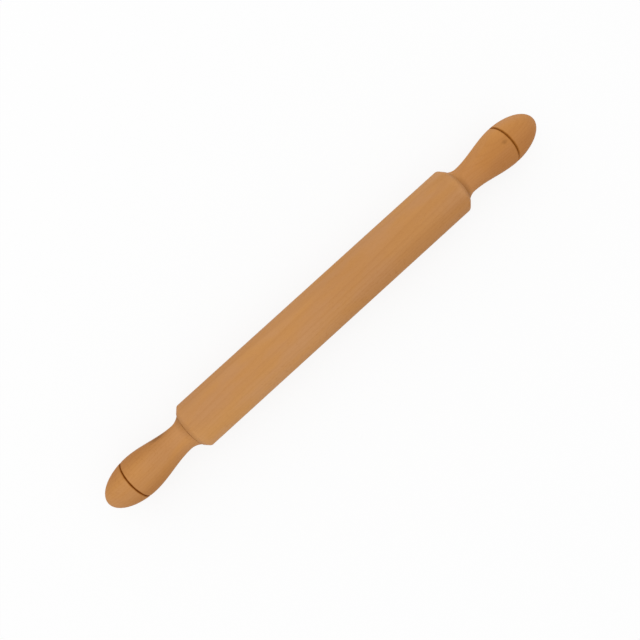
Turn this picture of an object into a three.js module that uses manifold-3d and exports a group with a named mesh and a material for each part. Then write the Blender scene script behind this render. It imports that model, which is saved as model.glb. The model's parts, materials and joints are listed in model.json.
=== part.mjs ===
// A wooden rolling pin with a revolving barrel, in millimetres, +Z up.
//
// The barrel turns on two nylon bushes round a steel axle rod that runs right through it.
// The rod's thinner threaded ends pass through the handles. At each end a nut and its washer
// clamp the handle against a thrust washer that sits on the rod's shoulder, so the two handles
// and the rod turn as one. A turned cap plugs the nut's pocket, and a ring groove marks its joint.
// The two ends are alike but for the place of that ring.
//
// The pin lies along X, with the middle of the barrel's underside at the origin.

import * as THREE from 'three';
import { mergeVertices } from 'three/addons/utils/BufferGeometryUtils.js';
import Module from 'manifold-3d';

const wasm = await Module();
wasm.setup();

// Barrel
const BARREL_LENGTH = 274;
const BARREL_DIAMETER = 40;
const BARREL_BEVEL = 3.9; // 45 degree bevel round each end
const BARREL_BORE_ROOM = 1; // round the axle rod, between the bushes

// Axle rod
const AXLE_DIAMETER = 8;
const AXLE_SHOULDER = 1; // radial step down to the threaded end
const AXLE_PROUD = 2; // thread that shows past the nut
const AXLE_CHAMFER = 0.8;

// Flanged bush in each end of the barrel
const BUSH_LENGTH = 20;
const BUSH_WALL = 2;
const FLANGE_RIM = 2.5;
const FLANGE_THICKNESS = 2;
const BUSH_LEAD = 0.6; // bevel that leads the bush into its seat

// Thrust washer between each bush and its handle
const THRUST_GAP = 0.3; // end play of the barrel at each end
const THRUST_WASHER_THICKNESS = 1.2;
const THRUST_WASHER_PROUD = 0.1; // how far it stands out of the handle

// Handle with its end cap, measured from the collar's face
const HANDLE_LENGTH = 81.3;
const COLLAR_DIAMETER = 29.4;
const COLLAR_LAND = 0.4; // narrow straight edge of the collar
const NECK_DIAMETER = 22.8;
const NECK_FROM_COLLAR = 9.2;
const BULB_DIAMETER = 33.8;
const BULB_FROM_TIP = 31.2;
const COVE_POWER = 2; // how quickly the cove falls from the collar to the neck

// End cap and the burnt ring groove at its joint
const LEFT_CAP_LENGTH = 26.4;
const RIGHT_CAP_LENGTH = 31.1;
const SPIGOT_LENGTH = 7;
const SPIGOT_LEAD = 0.8; // bevel on the spigot's end
const RING_WIDTH = 1.4;
const RING_DEPTH = 0.8;

// Nut and washer in the handle's pocket
const NUT_SIDES = 6;
const NUT_WALL = 2; // from the thread to each flat
const NUT_HEIGHT = 5;
const NUT_FACE_INSET = 0.2; // from each flat in to the round face of the nut
const NUT_BEVEL_ANGLE = 30; // degrees, of the cone that rounds the nut's corners
const NUT_WASHER_RIM = 2.2; // past the nut's corners
const NUT_WASHER_THICKNESS = 1.6;
const POCKET_END_ROOM = 1.5; // from the rod's end to the nearer spigot

// Clearances
const RUNNING_CLEARANCE = 0.1; // radial, between the rod and a bush
const FIT_CLEARANCE = 0.2; // radial, round a rod or washer that doesn't turn there
const SEAT_GAP = 0.1; // between two pieces that are pressed or glued together

// Facets
const WOOD_SIDES = 48;
const HARDWARE_SIDES = 32;
const COVE_STEPS = 6;
const GRIP_STEPS = 9;
const CAP_STEPS = 9;

// Sizes worked out from those above
const axleRadius = AXLE_DIAMETER / 2;
const axleEndRadius = axleRadius - AXLE_SHOULDER;
const bushBoreRadius = axleRadius + RUNNING_CLEARANCE;
const bushRadius = bushBoreRadius + BUSH_WALL;
const flangeRadius = bushRadius + FLANGE_RIM;
const thrustWasherRadius = flangeRadius;
const nutFlatRadius = axleEndRadius + NUT_WALL;
const nutCornerRadius = nutFlatRadius / Math.cos(Math.PI / NUT_SIDES);
const nutWasherRadius = nutCornerRadius + NUT_WASHER_RIM;
const pocketRadius = nutWasherRadius + FIT_CLEARANCE;

// Places along one end of the pin, measured outwards from the barrel's end face
const thrustWasherAt = THRUST_GAP;
const shoulderAt = thrustWasherAt - SEAT_GAP;
const collarAt = thrustWasherAt + THRUST_WASHER_PROUD;
const recessFloorAt = thrustWasherAt + THRUST_WASHER_THICKNESS + SEAT_GAP;
const tipAt = collarAt + HANDLE_LENGTH;
const capJointAt = { left: tipAt - LEFT_CAP_LENGTH, right: tipAt - RIGHT_CAP_LENGTH };
const nearerJointAt = Math.min(capJointAt.left, capJointAt.right);
const axleEndAt = nearerJointAt - SPIGOT_LENGTH - POCKET_END_ROOM;
const nutAt = axleEndAt - AXLE_PROUD - NUT_HEIGHT;
const nutWasherAt = nutAt - SEAT_GAP - NUT_WASHER_THICKNESS;
const pocketFloorAt = nutWasherAt - SEAT_GAP;

const wood = { roughness: 0.6, metalness: 0 };
const materials = {
  barrel: new THREE.MeshStandardMaterial({ color: 0xc18a56, ...wood }),
  handle: new THREE.MeshStandardMaterial({ color: 0xbc834f, ...wood }),
  nylon: new THREE.MeshStandardMaterial({ color: 0xe8e3d6, roughness: 0.5, metalness: 0 }),
  steel: new THREE.MeshStandardMaterial({ color: 0xb4b7ba, roughness: 0.35, metalness: 1 }),
};

// A piece turned round the X axis from [place along X, radius] points. The facets touch the true
// round from outside, so a size across two flats is the stated diameter, and one flat faces down.
function turned(outline, sides) {
  const toCorner = 1 / Math.cos(Math.PI / sides);
  const points = outline.map(([along, radius]) => new THREE.Vector2(radius * toCorner, along));
  const geometry = new THREE.LatheGeometry(points, sides, Math.PI / sides);
  return geometry.rotateZ(-Math.PI / 2);
}

// A closed outline, for a piece with a hole through it.
function ring(outline, sides) {
  return turned([...outline, outline[0]], sides);
}

// The corners of a regular polygon, given the radius to its flats.
function polygon(sides, flatRadius) {
  const cornerRadius = flatRadius / Math.cos(Math.PI / sides);
  return Array.from({ length: sides }, (_, i) => {
    const angle = (2 * Math.PI * i) / sides;
    return new THREE.Vector2(cornerRadius * Math.cos(angle), cornerRadius * Math.sin(angle));
  });
}

// Even steps from one place to another, both included.
function steps(from, to, count) {
  return Array.from({ length: count + 1 }, (_, i) => from + ((to - from) * i) / count);
}

// A boolean solid from a closed geometry, and a geometry from a boolean solid.
function solid(geometry) {
  geometry.deleteAttribute('normal');
  geometry.deleteAttribute('uv');
  const merged = mergeVertices(geometry);
  const mesh = new wasm.Mesh({
    numProp: 3,
    vertProperties: merged.attributes.position.array,
    triVerts: new Uint32Array(merged.index.array),
  });
  return new wasm.Manifold(mesh);
}

function geometryOf(body) {
  const mesh = body.getMesh();
  const geometry = new THREE.BufferGeometry();
  geometry.setAttribute('position', new THREE.BufferAttribute(mesh.vertProperties, mesh.numProp));
  geometry.setIndex(new THREE.BufferAttribute(mesh.triVerts, 1));
  return geometry;
}

// The handle's radius at a place along the end: a cove from the collar down to the neck,
// an even swell up to the bulb, and a quarter of an ellipse from there to the tip.
function handleRadius(along) {
  const collarRadius = COLLAR_DIAMETER / 2;
  const neckRadius = NECK_DIAMETER / 2;
  const bulbRadius = BULB_DIAMETER / 2;
  const coveAt = collarAt + COLLAR_LAND;
  const neckAt = collarAt + NECK_FROM_COLLAR;
  const bulbAt = tipAt - BULB_FROM_TIP;
  if (along <= coveAt) return collarRadius;
  if (along <= neckAt) {
    const remaining = (neckAt - along) / (neckAt - coveAt);
    return neckRadius + (collarRadius - neckRadius) * remaining ** COVE_POWER;
  }
  if (along <= bulbAt) {
    return neckRadius + (bulbRadius - neckRadius) * THREE.MathUtils.smoothstep(along, neckAt, bulbAt);
  }
  const share = Math.min((along - bulbAt) / BULB_FROM_TIP, 1);
  return bulbRadius * Math.sqrt(1 - share ** 2);
}

const onHandle = (along) => [along, handleRadius(along)];

// Barrel: a bevelled cylinder, bored through, with a stepped seat for a bush in each end.
function makeBarrel() {
  const end = BARREL_LENGTH / 2;
  const radius = BARREL_DIAMETER / 2;
  const seatRadius = bushRadius + SEAT_GAP;
  const recessRadius = flangeRadius + SEAT_GAP;
  const recessFloor = end - FLANGE_THICKNESS - SEAT_GAP;
  const seatFloor = end - BUSH_LENGTH - SEAT_GAP;
  const boreRadius = axleRadius + BARREL_BORE_ROOM;
  const rightHalf = [
    [end - BARREL_BEVEL, radius],
    [end, radius - BARREL_BEVEL],
    [end, recessRadius],
    [recessFloor, recessRadius],
    [recessFloor, seatRadius],
    [seatFloor, seatRadius],
    [seatFloor, boreRadius],
  ];
  const leftHalf = rightHalf.map(([along, r]) => [-along, r]).reverse();
  return ring([...rightHalf, ...leftHalf], WOOD_SIDES);
}

// Axle rod: one stepped shaft, shouldered and threaded at both ends.
function makeAxle() {
  const shoulder = BARREL_LENGTH / 2 + shoulderAt;
  const end = BARREL_LENGTH / 2 + axleEndAt;
  const rightHalf = [
    [shoulder, axleRadius],
    [shoulder, axleEndRadius],
    [end - AXLE_CHAMFER, axleEndRadius],
    [end, axleEndRadius - AXLE_CHAMFER],
    [end, 0],
  ];
  const leftHalf = rightHalf.map(([along, r]) => [-along, r]).reverse();
  return turned([...leftHalf, ...rightHalf], HARDWARE_SIDES);
}

// The pieces of one end are measured outwards from the barrel's end face. First, its flanged bush.
function makeBush() {
  const outline = [
    [-BUSH_LENGTH, bushBoreRadius],
    [-BUSH_LENGTH, bushRadius - BUSH_LEAD],
    [-BUSH_LENGTH + BUSH_LEAD, bushRadius],
    [-FLANGE_THICKNESS, bushRadius],
    [-FLANGE_THICKNESS, flangeRadius],
    [0, flangeRadius],
    [0, bushBoreRadius],
  ];
  return ring(outline, HARDWARE_SIDES);
}

// A flat washer on the rod's thinner end.
function makeWasher(at, thickness, outerRadius) {
  const innerRadius = axleEndRadius + FIT_CLEARANCE;
  const outline = [
    [at, innerRadius],
    [at, outerRadius],
    [at + thickness, outerRadius],
    [at + thickness, innerRadius],
  ];
  return ring(outline, HARDWARE_SIDES);
}

// Hexagon nut: a bored hexagonal prism whose corners a cone rounds off at both faces.
function makeNut() {
  const faceRadius = nutFlatRadius - NUT_FACE_INSET;
  const coneReach = (nutCornerRadius - faceRadius) * Math.tan(THREE.MathUtils.degToRad(NUT_BEVEL_ANGLE));
  const hexagon = new THREE.Shape(polygon(NUT_SIDES, nutFlatRadius));
  hexagon.holes.push(new THREE.Path(polygon(HARDWARE_SIDES, axleEndRadius + FIT_CLEARANCE)));
  const prism = new THREE.ExtrudeGeometry(hexagon, { depth: NUT_HEIGHT, bevelEnabled: false });
  prism.rotateY(Math.PI / 2).translate(nutAt, 0, 0);
  const outline = [
    [nutAt, 0],
    [nutAt, faceRadius],
    [nutAt + coneReach, nutCornerRadius],
    [nutAt + NUT_HEIGHT - coneReach, nutCornerRadius],
    [nutAt + NUT_HEIGHT, faceRadius],
    [nutAt + NUT_HEIGHT, 0],
  ];
  return geometryOf(solid(prism).intersect(solid(turned(outline, HARDWARE_SIDES))));
}

// Handle: the grip from the collar to the cap's joint, recessed for the thrust washer,
// drilled for the rod and pocketed for the nut.
function makeHandle(jointAt) {
  const recessRadius = thrustWasherRadius + FIT_CLEARANCE;
  const boreRadius = axleEndRadius + FIT_CLEARANCE;
  const jointFace = jointAt - SEAT_GAP;
  const grooveEdge = jointFace - RING_WIDTH / 2;
  const neckAt = collarAt + NECK_FROM_COLLAR;
  const outline = [
    onHandle(collarAt),
    ...steps(collarAt + COLLAR_LAND, neckAt, COVE_STEPS).map(onHandle),
    ...steps(neckAt, grooveEdge, GRIP_STEPS).slice(1).map(onHandle),
    [jointFace, handleRadius(jointFace) - RING_DEPTH],
    [jointFace, pocketRadius],
    [pocketFloorAt, pocketRadius],
    [pocketFloorAt, boreRadius],
    [recessFloorAt, boreRadius],
    [recessFloorAt, recessRadius],
    [collarAt, recessRadius],
  ];
  return ring(outline, WOOD_SIDES);
}

// End cap: the rounded tip, with a spigot that plugs the pocket.
function makeEndCap(jointAt) {
  const spigotRadius = pocketRadius - SEAT_GAP;
  const spigotEnd = jointAt - SPIGOT_LENGTH;
  const grooveEdge = jointAt + RING_WIDTH / 2;
  const turnSteps = steps(0, Math.PI / 2, CAP_STEPS);
  const dome = turnSteps.map((turn) => grooveEdge + (tipAt - grooveEdge) * Math.sin(turn));
  const outline = [
    [spigotEnd, 0],
    [spigotEnd, spigotRadius - SPIGOT_LEAD],
    [spigotEnd + SPIGOT_LEAD, spigotRadius],
    [jointAt, spigotRadius],
    [jointAt, handleRadius(jointAt) - RING_DEPTH],
    ...dome.map(onHandle),
  ];
  return turned(outline, WOOD_SIDES);
}

function makeEndPieces(jointAt) {
  return {
    bush: [makeBush(), materials.nylon],
    thrust_washer: [makeWasher(thrustWasherAt, THRUST_WASHER_THICKNESS, thrustWasherRadius), materials.steel],
    handle: [makeHandle(jointAt), materials.handle],
    nut_washer: [makeWasher(nutWasherAt, NUT_WASHER_THICKNESS, nutWasherRadius), materials.steel],
    axle_nut: [makeNut(), materials.steel],
    end_cap: [makeEndCap(jointAt), materials.handle],
  };
}

function named(name, geometry, material) {
  const mesh = new THREE.Mesh(geometry, material);
  mesh.name = name;
  return mesh;
}

// One end of the pin, measured along +X: the left one is then turned half round about Z.
function makeEnd(side) {
  const end = new THREE.Group();
  end.position.x = side === 'right' ? BARREL_LENGTH / 2 : -BARREL_LENGTH / 2;
  end.rotation.z = side === 'right' ? 0 : Math.PI;
  for (const [piece, [geometry, material]] of Object.entries(makeEndPieces(capJointAt[side]))) {
    end.add(named(`${side}_${piece}`, geometry, material));
  }
  return end;
}

const pin = new THREE.Group();
pin.position.z = BARREL_DIAMETER / 2;
pin.add(named('barrel', makeBarrel(), materials.barrel));
pin.add(named('axle_rod', makeAxle(), materials.steel));
pin.add(makeEnd('left'), makeEnd('right'));

const rollingPin = new THREE.Group();
rollingPin.add(pin);

export default rollingPin;
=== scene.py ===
# %% [markdown]
# # A rolling pin, dressed in Blender
#
# The pin is a wooden barrel that revolves on a steel rod between two turned handles. The packed
# model already holds every piece at its real size and place, as plain faceted solids. This lesson
# gives the pieces the smooth, softened shapes that come off a lathe, gives every surface its
# finish, and sets up the light and the camera. The frame comes first, because the pieces below
# take their places from it.

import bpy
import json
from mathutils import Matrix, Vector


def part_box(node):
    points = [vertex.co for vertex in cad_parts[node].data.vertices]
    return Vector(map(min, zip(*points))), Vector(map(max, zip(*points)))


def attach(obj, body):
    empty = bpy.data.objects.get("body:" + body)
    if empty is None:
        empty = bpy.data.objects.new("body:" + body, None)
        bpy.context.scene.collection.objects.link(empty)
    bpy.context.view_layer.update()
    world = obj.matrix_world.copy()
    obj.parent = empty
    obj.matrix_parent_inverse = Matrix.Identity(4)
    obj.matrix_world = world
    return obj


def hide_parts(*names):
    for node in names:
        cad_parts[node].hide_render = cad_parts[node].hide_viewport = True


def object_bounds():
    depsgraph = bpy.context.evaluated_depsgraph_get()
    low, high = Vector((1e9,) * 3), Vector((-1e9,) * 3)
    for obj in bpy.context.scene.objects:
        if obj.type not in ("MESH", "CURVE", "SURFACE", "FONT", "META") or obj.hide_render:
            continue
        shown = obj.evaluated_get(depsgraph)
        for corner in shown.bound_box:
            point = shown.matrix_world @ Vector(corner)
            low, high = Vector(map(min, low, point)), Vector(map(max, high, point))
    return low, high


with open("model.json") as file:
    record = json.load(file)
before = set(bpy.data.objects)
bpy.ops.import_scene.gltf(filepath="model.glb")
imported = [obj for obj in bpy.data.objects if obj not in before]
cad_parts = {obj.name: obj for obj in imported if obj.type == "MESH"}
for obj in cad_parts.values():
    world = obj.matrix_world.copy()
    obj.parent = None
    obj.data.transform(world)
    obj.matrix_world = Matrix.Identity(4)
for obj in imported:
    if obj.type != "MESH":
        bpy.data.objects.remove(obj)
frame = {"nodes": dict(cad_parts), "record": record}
cad_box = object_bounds()
print("nodes:", sorted(frame["nodes"]))

# %% [markdown]
# ## Measuring the pin
#
# The frame is in metres, with the pin lying along X on the plane Z = 0. The two ends are alike,
# apart from the place of the dark ring, so a piece of either end is measured by how far out from
# the pin's middle it starts and stops. Only what a box can't tell, such as a bevel, is written
# further down as a size.

# %% Measure the pin
import math

import bpy
from mathutils import Matrix, Vector

MM = 0.001

barrel_low, barrel_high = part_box("barrel")
AXIS_HEIGHT = (barrel_low.z + barrel_high.z) / 2
BARREL_END = barrel_high.x
BARREL_RADIUS = (barrel_high.y - barrel_low.y) / 2


def radius_of(node):
    low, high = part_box(node)
    return (high.y - low.y) / 2


def reach_of(node):
    """How far from the pin's middle a piece of one end starts and stops."""
    low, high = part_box(node)
    return sorted((abs(low.x), abs(high.x)))


COLLAR_X = reach_of("right_handle")[0]
TIP_X = reach_of("right_end_cap")[1]
print(f"barrel {2 * BARREL_END / MM:.1f} mm long and {2 * BARREL_RADIUS / MM:.1f} mm thick")
print(f"whole pin {2 * TIP_X / MM:.1f} mm long")

# %% [markdown]
# ## The camera
#
# The pin was laid on white and photographed from almost straight above and rather close, turned so
# that it runs from the lower left to the upper right. How close shows in the dark rings: each one
# bows outwards, because the camera looks along at it from over the middle. A camera can be placed
# by hand in the viewport, but here its place follows from measures of the picture: how far the
# pin is turned, how far the camera leans back from straight down, how far away it is, and where
# the pin's middle falls. The camera's own axes are built from the first two, so nothing has to be
# aimed by eye.

# %% Place the camera
PICTURE_SIDE = 640
PIN_MIDDLE_PIXEL = (325.2, 306.9)
PIN_TURN = math.radians(42.33)
CAMERA_LEAN = math.radians(4.1)
CAMERA_DISTANCE = 474.4 * MM
FOCAL_LENGTH_PIXELS = 620.2
SENSOR_WIDTH = 36

ahead = Vector((math.sin(PIN_TURN), math.cos(PIN_TURN), 0))
straight_up = Vector((0, 0, 1))
camera_right = Vector((math.cos(PIN_TURN), -math.sin(PIN_TURN), 0))
camera_back = straight_up * math.cos(CAMERA_LEAN) - ahead * math.sin(CAMERA_LEAN)
camera_up = camera_back.cross(camera_right)

metres_per_pixel = CAMERA_DISTANCE / FOCAL_LENGTH_PIXELS
offset_right = (PIN_MIDDLE_PIXEL[0] - PICTURE_SIDE / 2) * metres_per_pixel
offset_up = (PICTURE_SIDE / 2 - PIN_MIDDLE_PIXEL[1]) * metres_per_pixel
pin_middle = Vector((0, 0, AXIS_HEIGHT))
camera_place = pin_middle + camera_back * CAMERA_DISTANCE
camera_place -= camera_right * offset_right + camera_up * offset_up

camera_data = bpy.data.cameras.new("camera")
camera_data.sensor_width = SENSOR_WIDTH
camera_data.lens = SENSOR_WIDTH * FOCAL_LENGTH_PIXELS / PICTURE_SIDE
camera = bpy.data.objects.new("camera", camera_data)
camera_axes = Matrix((camera_right, camera_up, camera_back)).transposed()
camera.matrix_world = Matrix.Translation(camera_place) @ camera_axes.to_4x4()
bpy.context.scene.collection.objects.link(camera)
bpy.context.scene.camera = camera
print(f"camera at {[round(c, 3) for c in camera_place]}, lens {camera_data.lens:.1f} mm")

# %% [markdown]
# ## Wiring nodes
#
# Every finish in this lesson is a net of nodes: small boxes that each do one sum, joined by wires.
# They can be drawn in the shader editor, but a net that is written down can be read, changed and
# built again. In plain Blender code each node takes several lines, so one small class shortens
# that. A second class starts a new material and adds the few patterns that this pin is made of:
# noise, stretched places, soft edges and mixed colours.

# %% A short way to wire nodes
class Wiring:
    """Adds nodes to a node tree and wires them up."""

    def __init__(self, tree):
        self.tree = tree

    def feed(self, socket, value):
        """Wires a node's output to a socket, or sets a plain value on it."""
        if isinstance(value, bpy.types.NodeSocket):
            self.tree.links.new(value, socket)
        else:
            socket.default_value = value

    def add(self, kind, inputs=None, **settings):
        """Adds one node. inputs maps the names or numbers of its sockets to what goes in."""
        node = self.tree.nodes.new("ShaderNode" + kind)
        for setting, value in settings.items():
            setattr(node, setting, value)
        for socket, value in (inputs or {}).items():
            self.feed(node.inputs[socket], value)
        return node

    def math(self, operation, *values):
        return self.add("Math", dict(enumerate(values)), operation=operation).outputs[0]

    def vector(self, operation, *values, output="Vector"):
        node = self.add("VectorMath", dict(enumerate(values)), operation=operation)
        return node.outputs[output]

    def seen_directly(self):
        """1 on rays that the eye, a shiny surface or a clear one looks along, else 0."""
        path = self.add("LightPath").outputs
        shiny = self.math("MAXIMUM", path["Is Glossy Ray"], path["Is Transmission Ray"])
        return self.math("MAXIMUM", path["Is Camera Ray"], shiny)


print("the wiring is ready")

# %% A new finish and its patterns
class Finish(Wiring):
    """A new material, with the patterns that the pin's finishes are made of."""

    def __init__(self, name):
        self.material = bpy.data.materials.new(name)
        self.material.use_nodes = True
        super().__init__(self.material.node_tree)
        self.shader = self.tree.nodes["Principled BSDF"]
        self.output = self.tree.nodes["Material Output"]

    def paint(self, socket, value):
        """Wires or sets one of the shader's own sockets."""
        self.feed(self.shader.inputs[socket], value)

    def place(self):
        """The place in the piece, in metres."""
        return self.add("TexCoord").outputs["Object"]

    def stretched(self, place, sizes):
        """A place measured in patches of the given sizes along X, Y and Z."""
        return self.vector("MULTIPLY", place, [1 / size for size in sizes])

    def place_in_mm(self):
        return self.stretched(self.place(), [MM] * 3)

    def axis(self, place, name):
        """One of the three numbers of a place."""
        return self.add("SeparateXYZ", {0: place}).outputs[name]

    def noise(self, place, sizes, detail=2.0):
        """Soft random patches of the given sizes, from 0 to 1."""
        inputs = {"Vector": self.stretched(place, sizes), "Scale": 1.0, "Detail": detail}
        return self.add("TexNoise", inputs).outputs["Fac"]

    def fade(self, value, start, end):
        """0 up to start, 1 from end on, and a smooth passage between. start may be the larger."""
        inputs = {"Value": value, "From Min": start, "From Max": end}
        return self.add("MapRange", inputs, interpolation_type="SMOOTHSTEP").outputs["Result"]

    def weighted_sum(self, start, layers):
        """start plus each layer times its weight."""
        total = start
        for layer, weight in layers:
            total = self.math("MULTIPLY_ADD", layer, weight, total)
        return total

    def mix(self, share, first, second):
        """A colour between two, by share."""
        return self.add("Mix", {0: share, 6: first, 7: second}, data_type="RGBA").outputs[2]


print("finishes can be made")

# %% [markdown]
# ## A white floor
#
# The pin lies on white paper, and light that bounces off the paper reaches the pin's sides. To the
# camera the paper is white and mostly a white glow, so that it stays white up to the horizon. The
# part that is left of its true surface keeps the pin's shadow, which a background that is cut out
# and filled in afterwards would lose.

# %% Lay the floor
FLOOR_SIDE = 12
PAPER_WHITE = (0.95, 0.95, 0.95, 1)
PAPER_BOUNCE = (0.62, 0.62, 0.62, 1)
GLOW_SHARE = 0.85

bpy.ops.mesh.primitive_plane_add(size=FLOOR_SIDE, location=(0, 0, cad_box[0].z))
floor = bpy.context.object
floor.name = "floor"

paper = Finish("white_paper")
paper_seen = paper.seen_directly()
paper_colour = paper.mix(paper_seen, PAPER_BOUNCE, PAPER_WHITE)
paper_surface = paper.add("BsdfDiffuse", {"Color": paper_colour}).outputs[0]
paper_glow = paper.add("Emission", {"Strength": 1.0}).outputs[0]
glow_share = paper.math("MULTIPLY", paper_seen, GLOW_SHARE)
paper_mix = paper.add("MixShader", {0: glow_share, 1: paper_surface, 2: paper_glow})
paper.feed(paper.output.inputs["Surface"], paper_mix.outputs[0])
floor.data.materials.append(paper.material)
print(f"floor at z = {floor.location.z:.4f} m")

# %% [markdown]
# ## Soft light
#
# The picture has the even light of a white tent: hardly any shade across the barrel, only a darker
# edge at the lower right, and a slightly brighter left end than right. A ring of soft lamps could
# stand in for the tent, but a white world does it with no edges or gaps. One broad lamp, which
# stands to the left of the picture, gives the light its direction.

# %% Light the tent
WORLD_LIGHT = 0.95
LAMP_SIDE = 0.6
LAMP_PLACE = Vector((-0.35, 0.75, 0.42))
LAMP_POWER = 0.5

world = bpy.data.worlds.new("white_tent")
world.use_nodes = True
bpy.context.scene.world = world
background = world.node_tree.nodes["Background"]
background.inputs["Color"].default_value = (1, 1, 1, 1)
tent = Wiring(world.node_tree)
strength = tent.add("MapRange", {"Value": tent.seen_directly(), "To Min": WORLD_LIGHT, "To Max": 1.0})
tent.feed(background.inputs["Strength"], strength.outputs["Result"])

lamp_data = bpy.data.lights.new("broad_lamp", "AREA")
lamp_data.size = LAMP_SIDE
lamp_data.energy = LAMP_POWER
lamp = bpy.data.objects.new("broad_lamp", lamp_data)
lamp.location = LAMP_PLACE
lamp.rotation_euler = (LAMP_PLACE - pin_middle).to_track_quat("Z", "Y").to_euler()
bpy.context.scene.collection.objects.link(lamp)
bpy.context.scene.view_settings.view_transform = "Standard"
lamp_distance = (LAMP_PLACE - pin_middle).length
print(f"world light {WORLD_LIGHT}, lamp {LAMP_POWER} W at {lamp_distance:.2f} m")

# %% [markdown]
# ## A lathe in code
#
# Nearly every piece of the pin is turned: a blank spins and a tool follows an outline. Blender's
# Screw modifier does the same to a drawn line, but a line of points in code can be worked out
# from the measured sizes, so a small function spins it. It takes the outline as pairs of place
# along the pin and radius, makes one ring of vertices for each pair, and joins the rings with
# faces. A radius of nothing is a single point on the axis, and a closed outline makes a bored
# piece. A radius may also be a function of the turn, for the few rings that aren't round.

# %% Spin rings and join them
import bmesh


def spin_ring(mesh, along, radius, segments):
    """The vertices of one ring, or the single one on the axis."""
    if radius == 0:
        return [mesh.verts.new((along, 0, AXIS_HEIGHT))]
    ring = []
    for i in range(segments):
        turn = 2 * math.pi * i / segments
        reach = radius(turn) if callable(radius) else radius
        place = (along, reach * math.sin(turn), AXIS_HEIGHT + reach * math.cos(turn))
        ring.append(mesh.verts.new(place))
    return ring


def join_rings(mesh, first, second):
    """A band of faces between two rings, or a fan if one of them is a point."""
    count = max(len(first), len(second))
    for i in range(count):
        j = (i + 1) % count
        near = [first[0]] if len(first) == 1 else [first[j], first[i]]
        far = [second[0]] if len(second) == 1 else [second[i], second[j]]
        mesh.faces.new(near + far)


print("rings can be spun and joined")

# %% Turn a piece
WOOD_SEGMENTS = 160
SHARP_ANGLE = math.radians(20)


def turn_piece(name, outline, bored, segments=WOOD_SEGMENTS, sharp=SHARP_ANGLE):
    """A turned piece with its outline spun round the pin's axis. Edges over sharp stay crisp."""
    mesh = bmesh.new()
    rings = [spin_ring(mesh, along, radius, segments) for along, radius in outline]
    pairs = list(zip(rings, rings[1:]))
    if bored:
        pairs.append((rings[-1], rings[0]))
    for first, second in pairs:
        join_rings(mesh, first, second)
    bmesh.ops.recalc_face_normals(mesh, faces=mesh.faces)
    data = bpy.data.meshes.new(name)
    mesh.to_mesh(data)
    mesh.free()
    data.shade_smooth()
    data.set_sharp_from_angle(angle=sharp)
    piece = bpy.data.objects.new(name, data)
    bpy.context.scene.collection.objects.link(piece)
    print(f"{name}: {len(outline)} points in its outline, {len(data.polygons)} faces")
    return piece


print(f"the lathe puts {WOOD_SEGMENTS} points round a wooden ring")

# %% [markdown]
# ## Softened corners
#
# Sandpaper takes the sharpness off every corner of a turned piece, and a corner without it looks
# like plastic. A Bevel modifier could round the edges after turning. It is simpler to round the
# outline itself, where each corner is one point: the point gives way to a short curve that leaves
# one straight and joins the next.

# %% Soften an outline
CORNER_STEPS = 6


def softened(before, corner, after, reach):
    """A curve that cuts a corner, from reach before it to reach after it."""
    corner = Vector(corner)
    start = corner + (Vector(before) - corner).normalized() * reach
    end = corner + (Vector(after) - corner).normalized() * reach
    curve = []
    for i in range(CORNER_STEPS + 1):
        share = i / CORNER_STEPS
        on_first = start.lerp(corner, share)
        on_second = corner.lerp(end, share)
        curve.append(tuple(on_first.lerp(on_second, share)))
    return curve


def sand(points, reaches):
    """A closed outline with the numbered corners softened, by how far each curve reaches."""
    sanded = []
    for i, point in enumerate(points):
        if i in reaches:
            after = points[(i + 1) % len(points)]
            sanded += softened(points[i - 1], point, after, reaches[i])
        else:
            sanded.append(point)
    return sanded


print(f"{CORNER_STEPS} steps round each softened corner")

# %% [markdown]
# ## The barrel
#
# A plain cylinder with a 45 degree bevel round each end. It is bored right through for the rod,
# and each end is stepped to take a flanged bush, so its outline runs along the outside and back
# along the bore. Booleans could cut the seats, but in an outline a step is only two more points.
# The seats follow the bushes that the frame already holds.

# %% Turn the barrel
BEVEL = 3.9 * MM
BEVEL_SOFTNESS = 0.7 * MM
END_SOFTNESS = 0.25 * MM
SEAT_GAP = 0.1 * MM
FLANGE_THICKNESS = 2 * MM
BUSH_RADIUS = 6.1 * MM
BORE_RADIUS = 5 * MM

bush_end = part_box("right_bush")[0].x - SEAT_GAP
flange_floor = BARREL_END - FLANGE_THICKNESS - SEAT_GAP
recess_radius = radius_of("right_bush") + SEAT_GAP
barrel_right = [
    (BARREL_END - BEVEL, BARREL_RADIUS),
    (BARREL_END, BARREL_RADIUS - BEVEL),
    (BARREL_END, recess_radius),
    (flange_floor, recess_radius),
    (flange_floor, BUSH_RADIUS + SEAT_GAP),
    (bush_end, BUSH_RADIUS + SEAT_GAP),
    (bush_end, BORE_RADIUS),
]
barrel_left = [(-along, radius) for along, radius in reversed(barrel_right)]
last = len(barrel_right) + len(barrel_left) - 1
barrel_corners = {0: BEVEL_SOFTNESS, 1: END_SOFTNESS, last - 1: END_SOFTNESS, last: BEVEL_SOFTNESS}
barrel = turn_piece("turned_barrel", sand(barrel_right + barrel_left, barrel_corners), bored=True)

# %% [markdown]
# ## The handle's outline
#
# From the barrel outwards, a handle starts with a narrow collar, falls in a cove to the neck,
# swells in an even S to the bulb, and ends in an egg-shaped nose. Such a line could be drawn as a
# curve and nudged until it fits. Three short formulas give the same line with no nudging: a power
# for the cove, a smooth step for the swell, and a quarter of an ellipse for the nose.

# %% Shape the handle's outline
COLLAR_RADIUS = 14.7 * MM
COLLAR_LAND = 0.4 * MM
COVE_POWER = 2
NECK_RADIUS = 11.4 * MM
NECK_X = COLLAR_X + 9.2 * MM
BULB_RADIUS = 16.9 * MM
BULB_X = TIP_X - 31.2 * MM


def smooth_step(share):
    return share * share * (3 - 2 * share)


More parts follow.
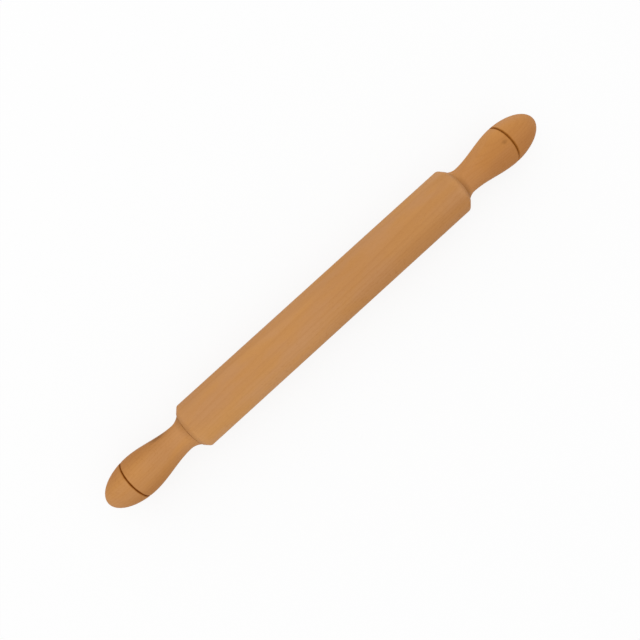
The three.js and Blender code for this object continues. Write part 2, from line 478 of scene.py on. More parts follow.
def handle_radius(along):
    """The radius of a handle at a place along the right end of the pin."""
    cove_x = COLLAR_X + COLLAR_LAND
    if along <= cove_x:
        return COLLAR_RADIUS
    if along <= NECK_X:
        remaining = (NECK_X - along) / (NECK_X - cove_x)
        return NECK_RADIUS + (COLLAR_RADIUS - NECK_RADIUS) * remaining**COVE_POWER
    if along <= BULB_X:
        share = (along - NECK_X) / (BULB_X - NECK_X)
        return NECK_RADIUS + (BULB_RADIUS - NECK_RADIUS) * smooth_step(share)
    share = min((along - BULB_X) / (TIP_X - BULB_X), 1)
    return BULB_RADIUS * math.sqrt(1 - share**2)


def along_handle(start, end, count):
    """Points on the handle's outline, evenly spaced from start to end."""
    places = [start + (end - start) * i / count for i in range(count + 1)]
    return [(along, handle_radius(along)) for along in places]


print(f"neck {2 * NECK_RADIUS / MM:.1f} mm, bulb {2 * BULB_RADIUS / MM:.1f} mm thick")

# %% [markdown]
# ## Handles and end caps
#
# A handle is drilled for the rod and pocketed for its nut, and the end cap's spigot closes the
# pocket. Where the two meet, a ring groove is cut and burnt, which hides the joint. The groove
# could be dented into a finished handle, but the joint runs along its bottom, so each side of it
# is turned with its own piece: a rounded shoulder that rolls over into the groove.

# %% Draw one side of the groove
GROOVE_HALF_WIDTH = 0.7 * MM
GROOVE_DEPTH = 0.8 * MM
GROOVE_SOFTNESS = 0.35 * MM


def groove_side(face_x, way):
    """The rounded shoulder and slope of one side of the groove, from its edge to the joint."""
    edge_x = face_x - way * GROOVE_HALF_WIDTH
    before_x = face_x - way * 2 * GROOVE_HALF_WIDTH
    edge = (edge_x, handle_radius(edge_x))
    before = (before_x, handle_radius(before_x))
    foot = (face_x, handle_radius(face_x) - GROOVE_DEPTH)
    return softened(before, edge, foot, GROOVE_SOFTNESS) + [foot]


print(f"ring groove {2 * GROOVE_HALF_WIDTH / MM:.1f} mm wide and {GROOVE_DEPTH / MM:.1f} mm deep")

# %% Draw the handle
COLLAR_SOFTNESS = 0.1 * MM
FIT_CLEARANCE = 0.2 * MM
ROD_END_RADIUS = 3 * MM
COVE_COUNT = 14
SWELL_COUNT = 28

recess_floor = reach_of("right_thrust_washer")[1] + SEAT_GAP
washer_recess = radius_of("right_thrust_washer") + FIT_CLEARANCE
rod_hole = ROD_END_RADIUS + FIT_CLEARANCE
pocket_radius = radius_of("right_nut_washer") + FIT_CLEARANCE
pocket_floor = reach_of("right_nut_washer")[0] - SEAT_GAP


def handle_outline(joint_x):
    shoulder = groove_side(joint_x, 1)
    collar_edge = (COLLAR_X, COLLAR_RADIUS)
    cove_start = (COLLAR_X + COLLAR_LAND, COLLAR_RADIUS)
    collar = softened((COLLAR_X, washer_recess), collar_edge, cove_start, COLLAR_SOFTNESS)
    cove = along_handle(COLLAR_X + COLLAR_LAND, NECK_X, COVE_COUNT)
    swell = along_handle(NECK_X, shoulder[0][0], SWELL_COUNT)[1:-1]
    inside = [
        (joint_x, pocket_radius),
        (pocket_floor, pocket_radius),
        (pocket_floor, rod_hole),
        (recess_floor, rod_hole),
        (recess_floor, washer_recess),
        (COLLAR_X, washer_recess),
    ]
    return collar + cove + swell + shoulder + inside


print(f"pocket {2 * pocket_radius / MM:.1f} mm wide, its floor {pocket_floor / MM:.1f} mm from the middle")

# %% Draw the end cap
SPIGOT_LEAD = 0.8 * MM
NOSE_COUNT = 28


def cap_outline(joint_x, spigot_x):
    shoulder = groove_side(joint_x, -1)
    spigot_radius = pocket_radius - SEAT_GAP
    spigot = [
        (spigot_x, 0),
        (spigot_x, spigot_radius - SPIGOT_LEAD),
        (spigot_x + SPIGOT_LEAD, spigot_radius),
        (joint_x, spigot_radius),
    ]
    nose = []
    nose_start = shoulder[0][0]
    for i in range(1, NOSE_COUNT):
        along = nose_start + (TIP_X - nose_start) * math.sin(math.pi / 2 * i / NOSE_COUNT)
        nose.append((along, handle_radius(along)))
    return spigot + shoulder[::-1] + nose + [(TIP_X, 0)]


print(f"spigot {2 * (pocket_radius - SEAT_GAP) / MM:.1f} mm thick")

# %% Turn the handles and end caps
HALF_TURN = Matrix.Rotation(math.pi, 4, "Z")
SIDES = ("right", "left")
turned = {"barrel": barrel}
ring_places = {}


def turn_end_piece(node, outline, bored, segments=WOOD_SEGMENTS):
    """A piece of one end, turned along +X. A left one is then swung round to its own end."""
    turned[node] = turn_piece(f"turned_{node}", outline, bored, segments)
    if node.startswith("left"):
        turned[node].data.transform(HALF_TURN)


for side in SIDES:
    handle_joint = reach_of(f"{side}_handle")[1]
    cap_joint = handle_joint + SEAT_GAP
    spigot_end = reach_of(f"{side}_end_cap")[0]
    ring_places[side] = (handle_joint + cap_joint) / 2
    turn_end_piece(f"{side}_handle", handle_outline(handle_joint), bored=True)
    turn_end_piece(f"{side}_end_cap", cap_outline(cap_joint, spigot_end), bored=False)

# %% [markdown]
# ## Bushes and washers
#
# A nylon bush is pressed into each end of the barrel and turns round the rod. Its flange runs
# against the thrust washer, the one piece of the inner works whose edge shows, deep in the gap.
# Washers are stamped from sheet, which rolls their edges over. All of them are plain rings with
# softened corners, so the lathe and the sandpaper from above make them too.

# %% Turn the bushes and washers
HARDWARE_SEGMENTS = 60
BUSH_BORE = 4.1 * MM
BUSH_LEAD = 0.6 * MM
BUSH_SOFTNESS = 0.25 * MM
STAMPED_EDGE = 0.3 * MM


def bush_outline():
    inner_end, outer_end = reach_of("right_bush")
    flange_back = outer_end - FLANGE_THICKNESS
    flange_radius = radius_of("right_bush")
    corners = [
        (inner_end, BUSH_BORE),
        (inner_end, BUSH_RADIUS - BUSH_LEAD),
        (inner_end + BUSH_LEAD, BUSH_RADIUS),
        (flange_back, BUSH_RADIUS),
        (flange_back, flange_radius),
        (outer_end, flange_radius),
        (outer_end, BUSH_BORE),
    ]
    bore_and_flange = (0, 4, 5, 6)
    return sand(corners, {i: BUSH_SOFTNESS for i in bore_and_flange})


def washer_outline(node):
    inner_face, outer_face = reach_of(node)
    outer_radius = radius_of(node)
    corners = [
        (inner_face, rod_hole),
        (inner_face, outer_radius),
        (outer_face, outer_radius),
        (outer_face, rod_hole),
    ]
    return sand(corners, {2: STAMPED_EDGE, 3: STAMPED_EDGE})


for side in SIDES:
    turn_end_piece(f"{side}_bush", bush_outline(), bored=True, segments=HARDWARE_SEGMENTS)
    for washer in ("thrust_washer", "nut_washer"):
        outline = washer_outline(f"right_{washer}")
        turn_end_piece(f"{side}_{washer}", outline, bored=True, segments=HARDWARE_SEGMENTS)

# %% [markdown]
# ## The rod's threads
#
# The rod is bright steel, stepped down at each end, and the last stretch of each thin end has a
# rolled thread with rounded crests. A thread could be a bump in the material, but seen from the
# side it needs a real wavy edge. On a lathe of rings that is easy: the radius of each vertex is a
# wave of its place along the rod, shifted by one pitch in each full turn, which makes a true
# right-hand screw. The edges between the rings of a wave are steep, so the rod is shaded smooth
# over larger angles than the other pieces.

# %% Shape the thread
THREAD_PITCH = 1 * MM
THREAD_DEPTH = 0.6 * MM
THREAD_LENGTH = 12 * MM
ROD_CHAMFER = 0.8 * MM

rod_end = reach_of("axle_rod")[1]
thread_start = rod_end - THREAD_LENGTH


def thread_radius(along, turn, depth):
    """The wave of a screw thread that climbs one pitch in each turn."""
    wave = math.cos(2 * math.pi * along / THREAD_PITCH + turn)
    return ROD_END_RADIUS - depth * (1 - wave) / 2


def rod_thread(along):
    """The rod's radius in its threaded stretch: it runs in from plain and ends in a chamfer."""
    grown = min(max((along - thread_start) / THREAD_PITCH, 0), 1)
    chamfered = ROD_END_RADIUS - max(along - (rod_end - ROD_CHAMFER), 0)
    depth = THREAD_DEPTH * grown
    return lambda turn: min(thread_radius(along, turn, depth), chamfered)


print(f"{THREAD_LENGTH / MM:.0f} mm of thread at each end, {THREAD_PITCH / MM:.0f} mm in each turn")

# %% Turn the rod
THREAD_STEPS = 12
THREAD_SHARP = math.radians(60)
SHOULDER_SOFTNESS = 0.2 * MM


def mirrored(radius):
    """The same ring at the rod's other end, turned the other way so the thread stays right-handed."""
    return (lambda turn: radius(-turn)) if callable(radius) else radius


rod_radius = radius_of("axle_rod")
shoulder_x = reach_of("right_thrust_washer")[0] - SEAT_GAP
shoulder_edge = softened((0, rod_radius), (shoulder_x, rod_radius), (shoulder_x, 0), SHOULDER_SOFTNESS)
thread_rings = round(THREAD_LENGTH / THREAD_PITCH * THREAD_STEPS)
rod_right = shoulder_edge + [(shoulder_x, ROD_END_RADIUS)]
for i in range(thread_rings + 1):
    along = thread_start + THREAD_LENGTH * i / thread_rings
    rod_right.append((along, rod_thread(along)))
rod_right.append((rod_end, 0))
rod_left = [(-along, mirrored(radius)) for along, radius in reversed(rod_right)]
rod_outline = rod_left + rod_right
turned["axle_rod"] = turn_piece(
    "turned_axle_rod", rod_outline, bored=False, segments=HARDWARE_SEGMENTS, sharp=THREAD_SHARP
)

# %% [markdown]
# ## The nuts
#
# A hexagon nut is a six-sided bar with its corners rounded off by a cone at both faces. A boolean
# of a prism and two cones would do, but a hexagon is also a ring whose radius depends on the turn,
# so the nut comes off the same lathe: each ring takes the smaller of the hexagon and the cone. The
# hole has the rod's thread, a little wider, so the two mesh without touching.

# %% Shape a nut
SIXTH_TURN = math.pi / 3
NUT_FACE_INSET = 0.2 * MM
NUT_CONE_SLOPE = math.tan(math.radians(30))
THREAD_ROOM = 0.1 * MM
COUNTERSINK = 0.3 * MM

nut_near, nut_far = reach_of("right_axle_nut")
nut_flat = radius_of("right_axle_nut")
nut_face = nut_flat - NUT_FACE_INSET


def nut_outside(along):
    """The smaller of the hexagon and the cone that rounds its corners."""
    from_face = min(along - nut_near, nut_far - along)
    cone = nut_face + from_face / NUT_CONE_SLOPE
    return lambda turn: min(nut_flat / math.cos(turn % SIXTH_TURN - SIXTH_TURN / 2), cone)


def nut_thread(along):
    """The rod's thread with some room, opened out by a countersink at both faces."""
    from_face = min(along - nut_near, nut_far - along)
    countersunk = ROD_END_RADIUS + COUNTERSINK - from_face
    return lambda turn: max(thread_radius(along, turn, THREAD_DEPTH) + THREAD_ROOM, countersunk)


print(f"nut {2 * nut_flat / MM:.1f} mm across its flats")

# %% Turn the nuts
NUT_CONE_STEPS = 10

nut_corner = nut_flat / math.cos(SIXTH_TURN / 2)
cone_reach = (nut_corner - nut_face) * NUT_CONE_SLOPE
cone_places = [cone_reach * i / NUT_CONE_STEPS for i in range(NUT_CONE_STEPS + 1)]
nut_places = [nut_near + reach for reach in cone_places]
nut_places += [nut_far - reach for reach in reversed(cone_places)]
hole_rings = round((nut_far - nut_near) / THREAD_PITCH * THREAD_STEPS)
hole_places = [nut_far - (nut_far - nut_near) * i / hole_rings for i in range(hole_rings + 1)]
nut_outline = [(along, nut_outside(along)) for along in nut_places]
nut_outline += [(along, nut_thread(along)) for along in hole_places]
for side in SIDES:
    turn_end_piece(f"{side}_axle_nut", nut_outline, bored=True, segments=HARDWARE_SEGMENTS)

# %% [markdown]
# ## Wood
#
# The pin is a plain, fine-grained hardwood, sanded smooth and lightly oiled. Its pattern isn't a
# picture wrapped round the pin: it is cut through a solid, so the same growth rings show as long
# lines on one side, as arches on the next and as arcs on the end grain. A node material does that
# if it is worked out from the place in the piece. The blank is imagined as sawn from a log whose
# heart lies some way off the pin's axis, and the place is turned and shifted to measure from
# there, in millimetres: X along the grain, Y along the growth rings and Z outwards from the
# heart.

# %% Lay out the grain
def grain_place(finish, heart_distance, heart_turn, run_out):
    """A place in the log, in mm, from a place in the piece."""
    inputs = {
        "Vector": finish.place(),
        "Scale": (1 / MM, 1 / MM, 1 / MM),
        "Rotation": (heart_turn, run_out, 0),
        "Location": (0, 0, heart_distance),
    }
    return finish.add("Mapping", inputs).outputs[0]


print("grain is measured in mm from the log's heart")

# %% [markdown]
# ### Growth rings and rays
#
# Each year's growth starts pale and ends in a thin darker line. Blender's Wave texture draws rings
# too, but its section is a plain sine, saw or triangle. So the distance from the heart, made uneven
# by slow noise, runs through a colour ramp that holds the section of one year. Rays are thin sheets
# of cells that stand out from the heart. Cut edge-on they are short dark dashes along the grain,
# and cut flat they are wide faint patches, so one noise that is stretched along the grain and
# outwards gives both.

# %% Grow the rings and rays
YEAR_WIDTH = 2.3
YEAR_FIRST_SHADE = 0
YEAR_SHADES = ((0.55, 0.15), (0.88, 1.0))
YEAR_LAST_SHADE = 0.1
WANDER = 5.0
WANDER_SIZES = (160, 22, 22)
RAY_SIZES = (2.4, 0.3, 4.5)
RAY_EDGE = (0.56, 0.7)
ACROSS = (0, 1, 1)


def grey(shade):
    return (shade, shade, shade, 1)


def growth_rings(finish, place):
    """0 in the pale wood of a year, rising to 1 at the dark line that ends it."""
    wander = finish.noise(place, WANDER_SIZES, detail=3)
    across = finish.vector("MULTIPLY", place, ACROSS)
    distance = finish.vector("LENGTH", across, output="Value")
    uneven = finish.math("MULTIPLY_ADD", wander, WANDER, distance)
    year = finish.math("FRACT", finish.math("DIVIDE", uneven, YEAR_WIDTH))
    ramp = finish.add("ValToRGB", {"Fac": year})
    shades = ramp.color_ramp.elements
    shades[0].color = grey(YEAR_FIRST_SHADE)
    shades[1].color = grey(YEAR_LAST_SHADE)
    for position, shade in YEAR_SHADES:
        shades.new(position).color = grey(shade)
    return ramp.outputs["Color"]


def ray_dashes(finish, place):
    """1 inside the dashes and patches where a ray is cut, else 0."""
    return finish.fade(finish.noise(place, RAY_SIZES, detail=1), *RAY_EDGE)


print(f"one year's ring is {YEAR_WIDTH} mm wide")

# %% [markdown]
# ### Painted shade on a blank
#
# The wood of each piece is darkened with painted shade, which stands in for light that falls off
# along it and round it: the colour darkens towards one end, on both flanks or on one flank more than
# the other, and the darker flank can change sides along the piece. Slow noise alone could do that,
# but it can't be told where to be dark, so the painted shade is a short sum of the place in the piece.

# %% Paint shade on a blank
BUFF = (0.595, 0.302, 0.128)
HONEY = (0.615, 0.298, 0.095)
DARK_WOOD = (0.46, 0.2, 0.061)


def tinted(colour, tint):
    """A colour with each channel scaled, ready for a shader's socket."""
    return (*[channel * scale for channel, scale in zip(colour, tint)], 1)


def painted_flank_shade(finish, flanks, lean, twist):
    """Painted shade on the flanks, as a tone: both darker by flanks for each square mm off the middle,
    and the one at +Y by lean for each mm, which twist changes with each mm along X."""
    place = finish.place_in_mm()
    off_middle = finish.axis(place, "Y")
    slope = finish.weighted_sum(lean, [(finish.axis(place, "X"), twist), (off_middle, flanks)])
    return finish.math("MULTIPLY", off_middle, slope)


print("blanks can be toned")

# %% [markdown]
# ### The colour of the wood
#
# The pale wood wavers between buff and honey in wide soft clouds. Over it lie the rings, the rays,
# the pores, which are finer dashes still, slow streaks that keep any two stretches of the barrel
# from looking the same, and the painted shade. They add up to one tone between the pale wood and
# the dark. Adding tones keeps the layers apart, where mixing colour after colour would let each hide
# the last.

# %% Colour the wood
CLOUD_SIZES = (38, 12, 12)
CLOUD_EDGE = (0.3, 0.7)
STREAK_SIZES = (170, 9, 9)
BASE_TONE = -0.15
STREAK_TONE = 0.54
RING_TONE = 0.15
RAY_TONE = 0.18
PORE_TONE = 0.28


def wood_colour(finish, place, rays, pores, tint, end_shade, flank_shade):
    """Cloudy pale wood, darkened by the sum of every other layer, painted shade among them."""
    clouds = finish.fade(finish.noise(place, CLOUD_SIZES, detail=2), *CLOUD_EDGE)
    pale = finish.mix(clouds, tinted(BUFF, tint), tinted(HONEY, tint))
    streaks = finish.noise(place, STREAK_SIZES, detail=4)
    rings = growth_rings(finish, place)
    # Painted shade: the wood darkens towards one end and on its flanks.
    painted_end_shade = finish.fade(finish.axis(place, "X"), end_shade["start"], end_shade["end"])
    layers = [(streaks, STREAK_TONE), (rings, RING_TONE), (rays, RAY_TONE), (pores, PORE_TONE)]
    layers += [(painted_end_shade, end_shade["amount"]), (painted_flank_shade(finish, **flank_shade), 1.0)]
    tone = finish.weighted_sum(BASE_TONE, layers)
    tone = finish.math("MINIMUM", finish.math("MAXIMUM", tone, 0), 1)
    return finish.mix(tone, pale, tinted(DARK_WOOD, tint))


print("the wood has its colours")

# %% [markdown]
# ### The surface of the wood
#
# The rays and pores dip below the surface by about a hundredth of a millimetre, and are a little
# duller than the wood around them. They could be cut into the mesh, but that would take millions of
# faces, so the same patterns go into the bump and the roughness. Turning leaves very fine rings
# round the piece, which a noise of the place along the pin alone gives.

# %% Finish the wood
PORE_SIZES = (1.3, 0.1, 0.1)
WOOD_GLOSS = 0.12
WOOD_ROUGHNESS = 0.5
RAY_ROUGHNESS = 0.08
PORE_ROUGHNESS = 0.2
PORE_DEPTH = 0.02 * MM
RAY_DIP = -0.5
PORE_DIP = -0.6
TURNING_MARK = 0.35
MARKS_PER_MM = 3.0


def wood_finish(name, heart, **colouring):
    """Fine-grained hardwood. Returns the finish, and the colour and roughness for the marks and painted
    shade laid over them.
    """
    finish = Finish(name)
    place = grain_place(finish, **heart)
    rays = ray_dashes(finish, place)
    pores = finish.noise(place, PORE_SIZES, detail=2)
    colour = wood_colour(finish, place, rays, pores, **colouring)
    roughness = finish.weighted_sum(WOOD_ROUGHNESS, [(rays, RAY_ROUGHNESS), (pores, PORE_ROUGHNESS)])
    mark_inputs = {"W": finish.axis(place, "X"), "Scale": MARKS_PER_MM, "Detail": 1.0}
    marks = finish.add("TexNoise", mark_inputs, noise_dimensions="1D").outputs["Fac"]
    height = finish.weighted_sum(0, [(rays, RAY_DIP), (pores, PORE_DIP), (marks, TURNING_MARK)])
    bump = finish.add("Bump", {"Height": height, "Distance": PORE_DEPTH, "Strength": 1.0})
    finish.paint("Base Color", colour)
    finish.paint("Roughness", roughness)
    finish.paint("Normal", bump.outputs["Normal"])
    finish.paint("Specular IOR Level", WOOD_GLOSS)
    return finish, colour, roughness


print("the wood is ready for its pieces")

# %% [markdown]
# ### Painted shade in the crease
#
# The crease between the barrel and the handle is darkened with painted shade, a soft brown that
# stands in for the shade that falls there. On the bevel's foot it is narrow. In the handle's cove it
# fades within a few millimetres, and it lies more to one side than all round. It could be painted on
# with a brush, but a sum of the distance from the crease and the direction from the axis follows the
# crease all the way round.

# %% Shade the crease
# Dark brown, for the painted shade in the creases and for the dirt in the bruises.
GRIME_AND_SHADE = (0.17, 0.062, 0.012, 1)


def near_place(finish, place_x, reach):
    """1 at a place along either end of the pin, fading to 0 at reach mm from it."""
    along = finish.axis(finish.place(), "X")
    off = finish.math("SUBTRACT", finish.math("ABSOLUTE", along), place_x)
    off_in_mm = finish.math("DIVIDE", finish.math("ABSOLUTE", off), MM)
    return finish.fade(off_in_mm, reach, 0)


def facing_side(finish, side):
    """How far the surface lies towards a side, times the length of that vector."""
    from_axis = finish.vector("SUBTRACT", finish.place(), (0, 0, AXIS_HEIGHT))
    outwards = finish.vector("NORMALIZE", finish.vector("MULTIPLY", from_axis, ACROSS))
    return finish.vector("DOT_PRODUCT", outwards, side, output="Value")


def painted_crease_shade(finish, colour, crease_x, reach, darkness, darker_side=None):
    """The colour with painted shade over it near the crease, darker towards one side if one is given."""
    near = near_place(finish, crease_x, reach)
    amount = darkness
    if darker_side:
        uneven = finish.math("ADD", facing_side(finish, darker_side), darkness)
        amount = finish.math("MAXIMUM", uneven, 0)
    return finish.mix(finish.math("MULTIPLY", near, amount), colour, GRIME_AND_SHADE)


print("grime is ready for the creases")

# %% [markdown]
# ### The barrel's wood, with rubbed ends
#
# The barrel gets knocked and wiped most round its ends, where the oil wears off and the wood goes
# paler, in patches. A worn look could be painted by hand, but wear follows the shape: it lies along
# the corner of the bevel, so the distance from that corner, broken up by noise, says where it is.

# %% Make the barrel's wood
BARREL_LOOK = {
    "tint": (1, 1, 1),
    "heart": {"heart_distance": 70, "heart_turn": math.radians(35), "run_out": 0.012},
    # The last two entries are painted shade along the barrel and across it.
    "end_shade": {"amount": 0.18, "start": -40, "end": 40},
    "flank_shade": {"flanks": 0, "lean": 0, "twist": -0.00013},
}
RUBBED_WOOD = (0.7, 0.375, 0.17, 1)
RUB_REACH = 7
RUB_SHARE = 0.14
RUB_PATCHES = (16 * MM, 9 * MM, 9 * MM)
RUB_EDGE = (0.35, 0.65)
# Painted shade in the crease at the foot of the bevel.
BEVEL_CREASE_SHADE_REACH = 3.6
BEVEL_CREASE_SHADE = 0.2


def rubbed(finish, colour, corner_x):
    """The colour with paler patches along a corner."""
    patches = finish.fade(finish.noise(finish.place(), RUB_PATCHES, detail=3), *RUB_EDGE)
    worn = finish.math("MULTIPLY", near_place(finish, corner_x, RUB_REACH), patches)
    return finish.mix(finish.math("MULTIPLY", worn, RUB_SHARE), colour, RUBBED_WOOD)


barrel_wood, barrel_colour, _ = wood_finish("barrel_wood", **BARREL_LOOK)
barrel_colour = rubbed(barrel_wood, barrel_colour, BARREL_END - BEVEL)
# The crease at the barrel's end gets painted shade.
barrel_colour = painted_crease_shade(barrel_wood, barrel_colour, BARREL_END, BEVEL_CREASE_SHADE_REACH, BEVEL_CREASE_SHADE)
barrel_wood.paint("Base Color", barrel_colour)
print("made", barrel_wood.material.name)

# %% [markdown]
# ### Bruises
#
# Handles get knocked, and a knock leaves a small dull bruise. The photographed pin has a faint one
# beside the ring of its right handle, and a longer, darker one on the flank of its left handle's
# neck. A bruise could be painted with a texture brush. In nodes it is a soft spot round one point
# of the surface, longer along the grain than across it. Noise that is stretched along the grain
# breaks it up into streaks, because dirt works its way in along the crushed fibres. It is laid over
# the wood in the same way as the painted shade in the crease.

# %% Bruise a handle
BRUISE_PATCHES = (9 * MM, 0.9 * MM, 0.9 * MM)
BRUISE_RAGGEDNESS = 1.1


def on_handle(side, along, turn):
    """A point on a handle, by how far it is from the pin's middle and its turn from the top."""
    way = 1 if side == "right" else -1
    reach = handle_radius(along)
    return (way * along, reach * math.sin(turn), AXIS_HEIGHT + reach * math.cos(turn))


def bruise(finish, colour, middle, size, stretch, share):
    """The colour with a streaky, darker spot round a point. size is half its width across the grain,
    and along the grain it is longer by stretch."""
    place = finish.place()
    off = finish.vector("SUBTRACT", place, middle)
    off_in_sizes = finish.stretched(off, (stretch * size, size, size))
    away = finish.vector("LENGTH", off_in_sizes, output="Value")
    patches = finish.noise(place, BRUISE_PATCHES, detail=3)
    ragged = finish.math("MULTIPLY_ADD", patches, BRUISE_RAGGEDNESS, away)
    near = finish.fade(ragged, 1 + BRUISE_RAGGEDNESS / 2, BRUISE_RAGGEDNESS / 2)
    return finish.mix(finish.math("MULTIPLY", near, share), colour, GRIME_AND_SHADE)


print("bruises are ready for the handles")

# %% [markdown]
# ### The burnt ring
#
# The dark ring is burnt: a wire is held in the groove while the handle spins, until it smokes. So
# it is darkest at the bottom, its edges are toasted brown, and it isn't quite even round the
# handle. The burn is laid over the finished wood by the distance from the groove's middle, made a
# little wider and narrower by noise. Each ring has its own heat, which is how dark it got, and its
# own spread, which is how far it crept. A ring may also have a cool side, where the wire hardly
# touched and the burn fades out.

# %% Burn the ring
CHAR = (0.23, 0.055, 0.001, 1)
CHAR_REACH = 0.5
CHAR_EDGE = 0.45
CHAR_ROUGHNESS = 0.3
TOAST = (0.34, 0.115, 0.008, 1)
TOAST_REACH = 1.3
TOAST_SHARE = 0.85
BURN_PATCHES = (4 * MM, 4 * MM, 4 * MM)
BURN_WANDER = 0.5
COOL_FROM = 0.6
COOL_TO = 1.05


def burn_ring(finish, colour, roughness, ring_x, heat, spread, cool_side=None):
    """Lays char and toast over a wood finish round the plane X = ring_x."""
    char_reach = CHAR_REACH * spread
    toast_reach = TOAST_REACH * spread
    place = finish.place()
    off = finish.math("ABSOLUTE", finish.math("SUBTRACT", finish.axis(place, "X"), ring_x))
    patches = finish.noise(place, BURN_PATCHES)
    uneven = finish.math("MULTIPLY_ADD", patches, BURN_WANDER, finish.math("DIVIDE", off, MM))
    toast = finish.fade(uneven, toast_reach + BURN_WANDER / 2, char_reach + BURN_WANDER / 2)
    char = finish.math("MULTIPLY", finish.fade(uneven, char_reach + CHAR_EDGE, char_reach), heat)
    if cool_side:
        touch = finish.fade(facing_side(finish, cool_side), COOL_TO, COOL_FROM)
        toast = finish.math("MULTIPLY", toast, touch)
        char = finish.math("MULTIPLY", char, touch)
    toasted = finish.mix(finish.math("MULTIPLY", toast, TOAST_SHARE), colour, TOAST)
    finish.paint("Base Color", finish.mix(char, toasted, CHAR))
    finish.paint("Roughness", finish.math("MULTIPLY_ADD", char, CHAR_ROUGHNESS, roughness))


print(f"char within {CHAR_REACH} mm of the groove's middle, toast within {TOAST_REACH} mm")

# %% [markdown]
# ### The handles' wood
#
# The handles were turned from other blanks than the barrel, so each has its own tint and grain,
# and the right one is redder, with painted shade that darkens its front flank. Each layer covers the
# ones before it. The wood comes first, then the painted shade in the cove and the bruise, which only
# tint it, and the burn comes last, because char hides whatever lies under it. One dictionary for
# each handle keeps its own numbers together, so that one loop can finish both.

# %% Choose each handle's looks
neck_mm = NECK_X / MM
# In each look, the last two entries are painted shade along the handle and across its flanks.
HANDLE_LOOKS = {
    "right": {
        "tint": (0.968, 0.888, 0.75),
        "heart": {"heart_distance": 55, "heart_turn": math.radians(200), "run_out": 0.02},
        "end_shade": {"amount": 0.25, "start": neck_mm - 2.6, "end": neck_mm + 25.4},
        "flank_shade": {"flanks": -0.001, "lean": 0.025, "twist": -0.0003},
    },
    "left": {
        "tint": (1.0, 0.962, 0.868),
        "heart": {"heart_distance": 55, "heart_turn": math.radians(110), "run_out": 0.02},
        "end_shade": {"amount": -0.22, "start": -neck_mm - 13.4, "end": -neck_mm + 0.6},
        "flank_shade": {"flanks": 0.0028, "lean": 0.009, "twist": 0},
    },
}
# Painted shade in each handle's cove, darker towards the side given for it.
COVE_SHADE_REACH = 6.5
COVE_SHADE = 0.11
COVE_SHADE_SIDES = {"right": (0, -0.32, 0.19), "left": (0, 0.22, 0.09)}
bruise_by_ring = on_handle("right", ring_places["right"] - 5 * MM, 0)
bruise_on_neck = on_handle("left", NECK_X + 12.4 * MM, math.radians(66))
BRUISES = {
    "right": {"middle": bruise_by_ring, "size": 2.6 * MM, "stretch": 1.3, "share": 0.34},
    "left": {"middle": bruise_on_neck, "size": 5 * MM, "stretch": 2.8, "share": 0.6},
}
BURNS = {
    "right": {"ring_x": ring_places["right"], "heat": 0.5, "spread": 1.2, "cool_side": (0, -1, 0)},
    "left": {"ring_x": -ring_places["left"], "heat": 1.0, "spread": 1.0},
}
print("looks chosen for", ", ".join(HANDLE_LOOKS))

# %% Make the handles' wood
handle_woods = {}
for side in SIDES:
    finish, colour, roughness = wood_finish(f"{side}_handle_wood", **HANDLE_LOOKS[side])
    # The cove gets painted shade.
    colour = painted_crease_shade(finish, colour, COLLAR_X, COVE_SHADE_REACH, COVE_SHADE, COVE_SHADE_SIDES[side])
    colour = bruise(finish, colour, **BRUISES[side])
    burn_ring(finish, colour, roughness, **BURNS[side])
    handle_woods[side] = finish
    print(f"{side} ring burnt {ring_places[side] / MM:.1f} mm from the middle")

# %% [markdown]
# ## Steel and nylon
#
# The rod, nuts and washers are bright zinc-plated steel. Plating is never one even grey: it has a
# faint cloudy bloom, and the steel under it keeps fine drawing lines along the rod. The bushes
# are natural nylon, a warm white that is slightly cloudy inside, with a fine moulded grain. Noise
# worked out from the place in the piece gives all of these, and it doesn't stretch over the
# threads as a wrapped picture would. Hardly any of it shows, but the pieces are finished for
# whoever takes the pin apart.

# %% Finish the steel
BRIGHT_ZINC = (0.50, 0.51, 0.53, 1)
CLOUDY_ZINC = (0.62, 0.62, 0.61, 1)
BLOOM_SIZES = (6, 6, 6)
DRAWN_LINE_SIZES = (14, 0.12, 0.12)
DRAWN_LINE_DEPTH = 0.004 * MM
ZINC_ROUGHNESS = 0.18
BLOOM_ROUGHNESS = 0.2
DRAWN_LINE_ROUGHNESS = 0.12


def steel_finish():
    finish = Finish("zinc_plated_steel")
    place = finish.place_in_mm()
    bloom = finish.noise(place, BLOOM_SIZES, detail=4)
    lines = finish.noise(place, DRAWN_LINE_SIZES, detail=2)
    dullness = [(bloom, BLOOM_ROUGHNESS), (lines, DRAWN_LINE_ROUGHNESS)]
    bump = finish.add("Bump", {"Height": lines, "Distance": DRAWN_LINE_DEPTH})
    finish.paint("Base Color", finish.mix(bloom, BRIGHT_ZINC, CLOUDY_ZINC))
    finish.paint("Roughness", finish.weighted_sum(ZINC_ROUGHNESS, dullness))
    finish.paint("Normal", bump.outputs["Normal"])
    finish.paint("Metallic", 1.0)
    return finish


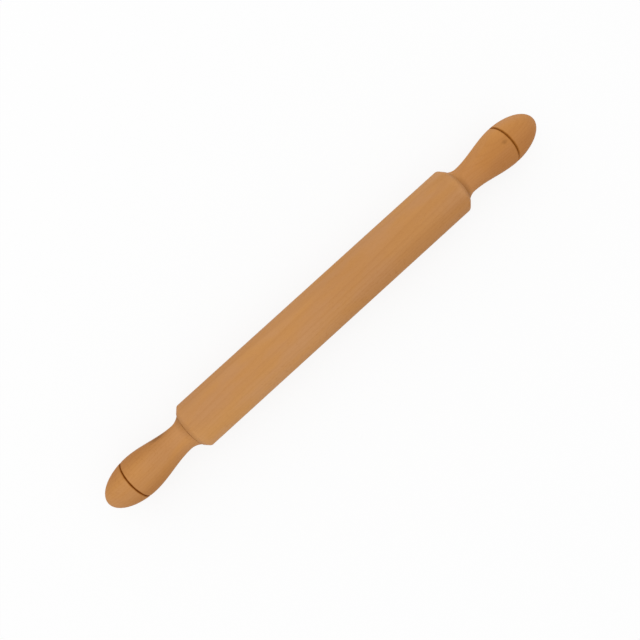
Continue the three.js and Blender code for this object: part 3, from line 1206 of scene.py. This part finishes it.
steel = steel_finish()
print("made", steel.material.name)

# %% Finish the nylon
WARM_NYLON = (0.78, 0.74, 0.63, 1)
PALE_NYLON = (0.83, 0.80, 0.72, 1)
NYLON_CLOUD_SIZES = (5, 5, 5)
MOULD_GRAIN_SIZES = (0.3, 0.3, 0.3)
MOULD_GRAIN_DEPTH = 0.01 * MM
NYLON_ROUGHNESS = 0.38
MOULD_GRAIN_ROUGHNESS = 0.2


def nylon_finish():
    finish = Finish("natural_nylon")
    place = finish.place_in_mm()
    cloud = finish.noise(place, NYLON_CLOUD_SIZES, detail=3)
    grain = finish.noise(place, MOULD_GRAIN_SIZES, detail=2)
    bump = finish.add("Bump", {"Height": grain, "Distance": MOULD_GRAIN_DEPTH})
    finish.paint("Base Color", finish.mix(cloud, WARM_NYLON, PALE_NYLON))
    finish.paint("Roughness", finish.weighted_sum(NYLON_ROUGHNESS, [(grain, MOULD_GRAIN_ROUGHNESS)]))
    finish.paint("Normal", bump.outputs["Normal"])
    return finish


nylon = nylon_finish()
print("made", nylon.material.name)

# %% [markdown]
# ## Putting it together
#
# Each turned piece stands for its faceted solid, rides on the body that the solid belongs to, and
# takes the finish for the material slot that the record gives it. The barrel revolves with its
# bushes, and everything else stays with the rod. The record already says which piece belongs where,
# so it is asked instead of being written out again.

# %% Dress the pieces
body_of_node = {
    node: body
    for body, nodes in frame["record"]["behaviour"]["bodies"].items()
    for node in nodes
}
slot_of_node = {row["node"]: row["material_slot"] for row in frame["record"]["subparts"]}
finish_of_slot = {"barrel_wood": barrel_wood, "axle_steel": steel, "bush_nylon": nylon}
for node, piece in turned.items():
    slot = slot_of_node[node]
    finish = handle_woods[node.split("_")[0]] if slot == "handle_wood" else finish_of_slot[slot]
    piece.data.materials.append(finish.material)
    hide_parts(node)
    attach(piece, body_of_node[node])
print("turned pieces:", sorted(turned))

# %% [markdown]
# ## The size
#
# The looks must not change the object's size.

# %% Finish
import json
